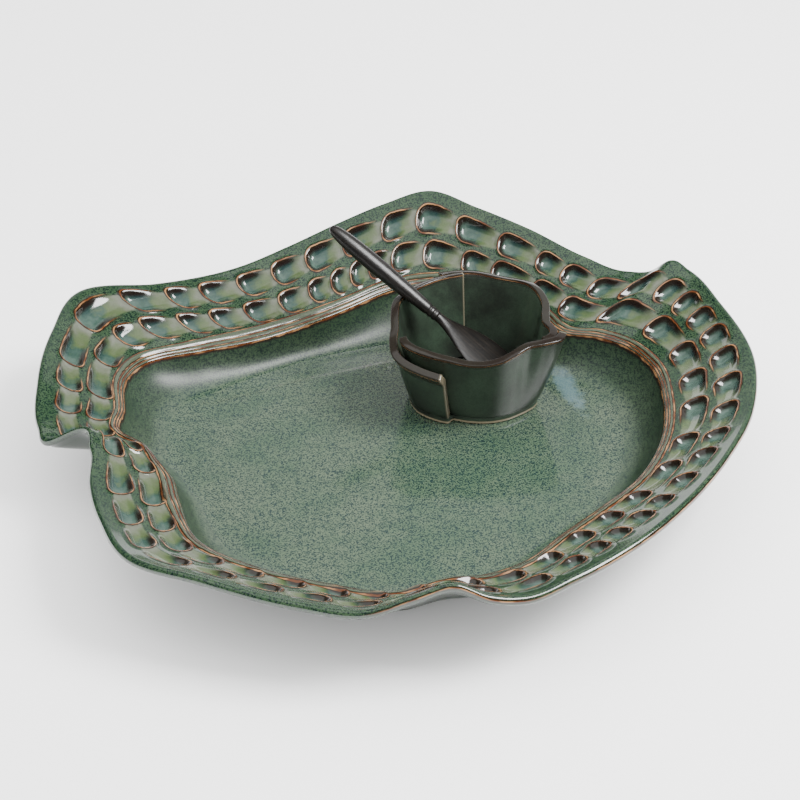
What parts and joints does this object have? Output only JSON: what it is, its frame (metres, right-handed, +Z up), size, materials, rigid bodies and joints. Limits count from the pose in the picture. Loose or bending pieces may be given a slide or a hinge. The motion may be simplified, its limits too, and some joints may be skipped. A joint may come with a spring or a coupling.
{
  "type": "chip and dip server",
  "caption": "Ruffled stoneware platter with a pinched three-lobed rim, a loose slab-built dip bowl and a carved wooden spreader.",
  "frame": {"origin": "on the table, under the middle of the platter's outline", "axes": "+Z up out of the platter; -Y towards the side that the server is seen from, +X to that viewer's right"},
  "size_m": [0.3737, 0.3636, 0.0973],
  "materials": {
    "sage_glaze": "glossy speckled sage green glaze that breaks to rust brown on edges",
    "dark_glaze": "glossy near-black green glaze with a metallic brown rim",
    "bowl_foot_clay": "cream stoneware at the glaze line",
    "ebonised_wood": "black stained hardwood, oiled to a semi-gloss"
  },
  "bodies": {
    "platter": {"platter": "sage_glaze"},
    "dip_bowl": {"dip_bowl_base": "bowl_foot_clay", "dip_bowl_wall_left": "dark_glaze", "dip_bowl_wall_front": "dark_glaze", "dip_bowl_wall_back": "dark_glaze"},
    "spreader": {"spreader": "ebonised_wood"}
  },
  "joints": [
    {"name": "dip_bowl_lift", "type": "slide", "parent": "platter", "child": "dip_bowl", "axis": [0, 0, 1], "range_m": [0, 0.09]},
    {"name": "spreader_lift", "type": "slide", "parent": "dip_bowl", "child": "spreader", "axis": [0, 0, 1], "range_m": [0, 0.08]}
  ]
}
